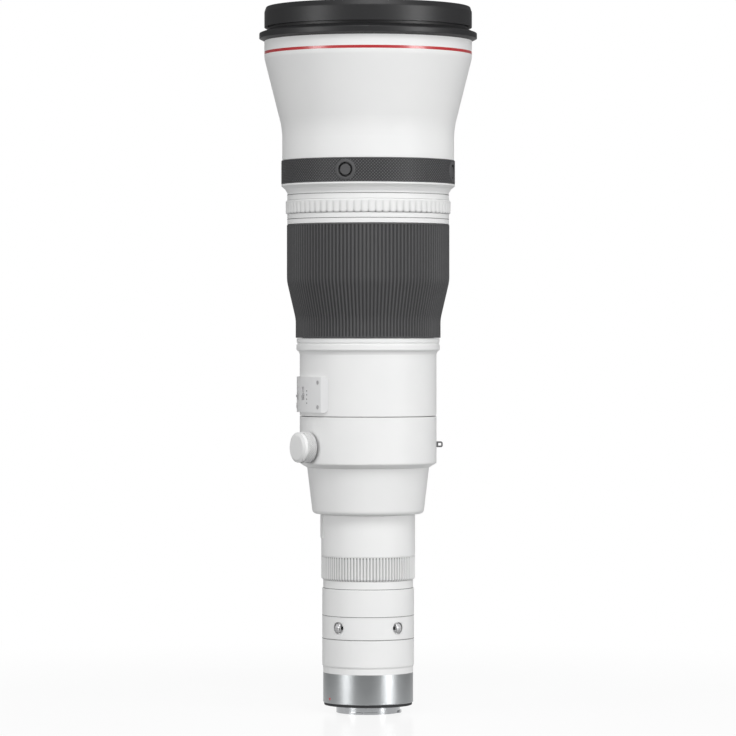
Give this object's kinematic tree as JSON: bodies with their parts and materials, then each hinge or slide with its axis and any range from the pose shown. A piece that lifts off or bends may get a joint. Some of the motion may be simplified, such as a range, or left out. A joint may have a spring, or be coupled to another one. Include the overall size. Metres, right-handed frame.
{
  "type": "super telephoto lens",
  "caption": "Large white super telephoto lens with a flared front barrel, black ribbed focus ring, rotating tripod collar with foot, and a drop-in filter drawer near its bayonet mount.",
  "frame": {"origin": "centre of the bayonet's flange plane, on the optical axis", "axes": "+Z along the optical axis towards the front; -Y is the side that faces the sky in use; the tripod foot is on +Y"},
  "size_m": [0.168, 0.189, 0.5436],
  "materials": {
    "white_paint": "satin white baked paint",
    "white_plastic": "fine matt white moulding",
    "black_metal": "matt black",
    "black_rubber": "ribbed or knurled dark grey rubber",
    "red_line": "glossy red",
    "silver_sleeve": "satin turned aluminium",
    "bayonet_metal": "polished chrome on brass",
    "steel": "bright steel",
    "contact_plastic": "black moulding",
    "gold_contact": "gold plated",
    "seal_rubber": "smooth black rubber",
    "inner_metal": "black anodised",
    "motor_metal": "ground steel",
    "glass": "coated optical glass",
    "board": "green circuit board",
    "switch_dark": "dark grey moulding"
  },
  "bodies": {
    "barrel": {"bayonet": "bayonet_metal", "bayonet_screws": "steel", "contact_block": "contact_plastic", "contact_pins": "gold_contact", "mount_gasket": "seal_rubber", "mount_sleeve": "silver_sleeve", "rear_lens": "glass", "filter_housing": "white_paint", "circuit_board": "board", "rear_tube": "white_paint", "relay_cell": "inner_metal", "relay_lenses": "glass", "rear_cone": "white_paint", "stabiliser_base": "inner_metal", "main_barrel": "white_paint", "iris_unit": "inner_metal", "main_tube": "white_paint", "focus_end_ring": "white_paint", "focus_stator": "motor_metal", "band_collar": "white_paint", "button_band": "black_rubber", "front_barrel": "white_paint", "red_ring": "red_line", "front_cell": "inner_metal", "front_element": "glass", "front_retaining_ring": "black_metal", "front_group_cell": "inner_metal", "front_group_lenses": "glass", "front_flange": "black_metal", "front_ring": "black_metal", "switch_panel": "white_plastic", "panel_screws": "steel"},
    "control_ring": {"control_ring": "white_paint"},
    "filter_drawer": {"filter_drawer": "white_paint", "filter_glass": "glass"},
    "left_catch": {"left_catch": "steel"},
    "right_catch": {"right_catch": "steel"},
    "tripod_collar": {"collar_ring": "white_paint", "tripod_foot": "white_paint", "foot_screws": "steel", "strap_lugs": "steel"},
    "lock_knob": {"lock_knob": "white_paint", "lock_screw": "steel"},
    "focus_ring": {"focus_sleeve": "inner_metal", "focus_grip": "black_rubber"},
    "focus_rotor": {"focus_rotor": "motor_metal"},
    "focus_group": {"focus_cell": "inner_metal", "focus_lens": "glass"},
    "stabiliser_guide": {"stabiliser_guide": "inner_metal"},
    "stabiliser_cell": {"stabiliser_cell": "inner_metal", "stabiliser_lens": "glass"},
    "playback_ring": {"playback_ring": "white_paint"},
    "focus_mode_switch": {"focus_mode_switch": "switch_dark"},
    "range_switch": {"range_switch": "switch_dark"},
    "stabiliser_switch": {"stabiliser_switch": "switch_dark"},
    "preset_button": {"preset_button": "switch_dark"},
    "focus_stop_button_1": {"focus_stop_button_1": "black_rubber"},
    "focus_stop_button_2": {"focus_stop_button_2": "black_rubber"},
    "focus_stop_button_3": {"focus_stop_button_3": "black_rubber"},
    "focus_stop_button_4": {"focus_stop_button_4": "black_rubber"}
  },
  "joints": [
    {"name": "control_ring_turn", "type": "hinge", "parent": "barrel", "child": "control_ring", "pos_m": [0, 0, 0.105], "axis": [0, 0, 1], "continuous": true},
    {"name": "filter_drawer_slide", "type": "slide", "parent": "barrel", "child": "filter_drawer", "axis": [0, -1, 0], "range_m": [0, 0.07]},
    {"name": "left_catch_slide", "type": "slide", "parent": "filter_drawer", "child": "left_catch", "axis": [0.766, -0.6428, 0], "range_m": [0, 0.0015], "stiffness_N_per_m": 600, "springref_m": -0.001},
    {"name": "right_catch_slide", "type": "slide", "parent": "filter_drawer", "child": "right_catch", "axis": [-0.766, -0.6428, 0], "range_m": [0, 0.0015], "stiffness_N_per_m": 600, "springref_m": -0.001},
    {"name": "tripod_collar_turn", "type": "hinge", "parent": "barrel", "child": "tripod_collar", "pos_m": [0, 0, 0.2], "axis": [0, 0, 1], "continuous": true},
    {"name": "lock_knob_turn", "type": "hinge", "parent": "tripod_collar", "child": "lock_knob", "pos_m": [-0.05032, -0.03268, 0.1984], "axis": [-0.8387, -0.5446, 0], "range_deg": [0, 300]},
    {"name": "focus_ring_turn", "type": "hinge", "parent": "barrel", "child": "focus_ring", "pos_m": [0, 0, 0.32], "axis": [0, 0, 1], "continuous": true},
    {"name": "focus_rotor_turn", "type": "hinge", "parent": "barrel", "child": "focus_rotor", "pos_m": [0, 0, 0.28], "axis": [0, 0, 1], "range_deg": [0, 120]},
    {"name": "focus_group_slide", "type": "slide", "parent": "barrel", "child": "focus_group", "axis": [0, 0, 1], "range_m": [0, 0.03]},
    {"name": "stabiliser_guide_slide", "type": "slide", "parent": "barrel", "child": "stabiliser_guide", "axis": [1, 0, 0], "range_m": [-0.0008, 0.0008], "stiffness_N_per_m": 300},
    {"name": "stabiliser_cell_slide", "type": "slide", "parent": "stabiliser_guide", "child": "stabiliser_cell", "axis": [0, 1, 0], "range_m": [-0.0008, 0.0008], "stiffness_N_per_m": 300},
    {"name": "playback_ring_turn", "type": "hinge", "parent": "barrel", "child": "playback_ring", "pos_m": [0, 0, 0.3826], "axis": [0, 0, 1], "range_deg": [-15, 15], "stiffness_Nm_per_rad": 0.2},
    {"name": "focus_mode_switch_slide", "type": "slide", "parent": "barrel", "child": "focus_mode_switch", "axis": [0, 0, 1], "range_m": [0, 0.0048]},
    {"name": "range_switch_slide", "type": "slide", "parent": "barrel", "child": "range_switch", "axis": [0, 0, 1], "range_m": [0, 0.0048]},
    {"name": "stabiliser_switch_slide", "type": "slide", "parent": "barrel", "child": "stabiliser_switch", "axis": [0, 0, 1], "range_m": [0, 0.0048]},
    {"name": "preset_button_push", "type": "slide", "parent": "barrel", "child": "preset_button", "axis": [0.9986, -0.0523, 0], "range_m": [0, 0.0006], "stiffness_N_per_m": 1500, "springref_m": -0.0005},
    {"name": "focus_stop_button_1_push", "type": "slide", "parent": "barrel", "child": "focus_stop_button_1", "axis": [0.2588, 0.9659, 0], "range_m": [0, 0.001], "stiffness_N_per_m": 1500, "springref_m": -0.0005},
    {"name": "focus_stop_button_2_push", "type": "slide", "parent": "barrel", "child": "focus_stop_button_2", "axis": [-0.9659, 0.2588, 0], "range_m": [0, 0.001], "stiffness_N_per_m": 1500, "springref_m": -0.0005},
    {"name": "focus_stop_button_3_push", "type": "slide", "parent": "barrel", "child": "focus_stop_button_3", "axis": [-0.2588, -0.9659, 0], "range_m": [0, 0.001], "stiffness_N_per_m": 1500, "springref_m": -0.0005},
    {"name": "focus_stop_button_4_push", "type": "slide", "parent": "barrel", "child": "focus_stop_button_4", "axis": [0.9659, -0.2588, 0], "range_m": [0, 0.001], "stiffness_N_per_m": 1500, "springref_m": -0.0005}
  ],
  "couplings": [
    {"joint": "focus_group_slide", "follows": "focus_rotor_turn", "m_per_rad": 0.014324}
  ]
}
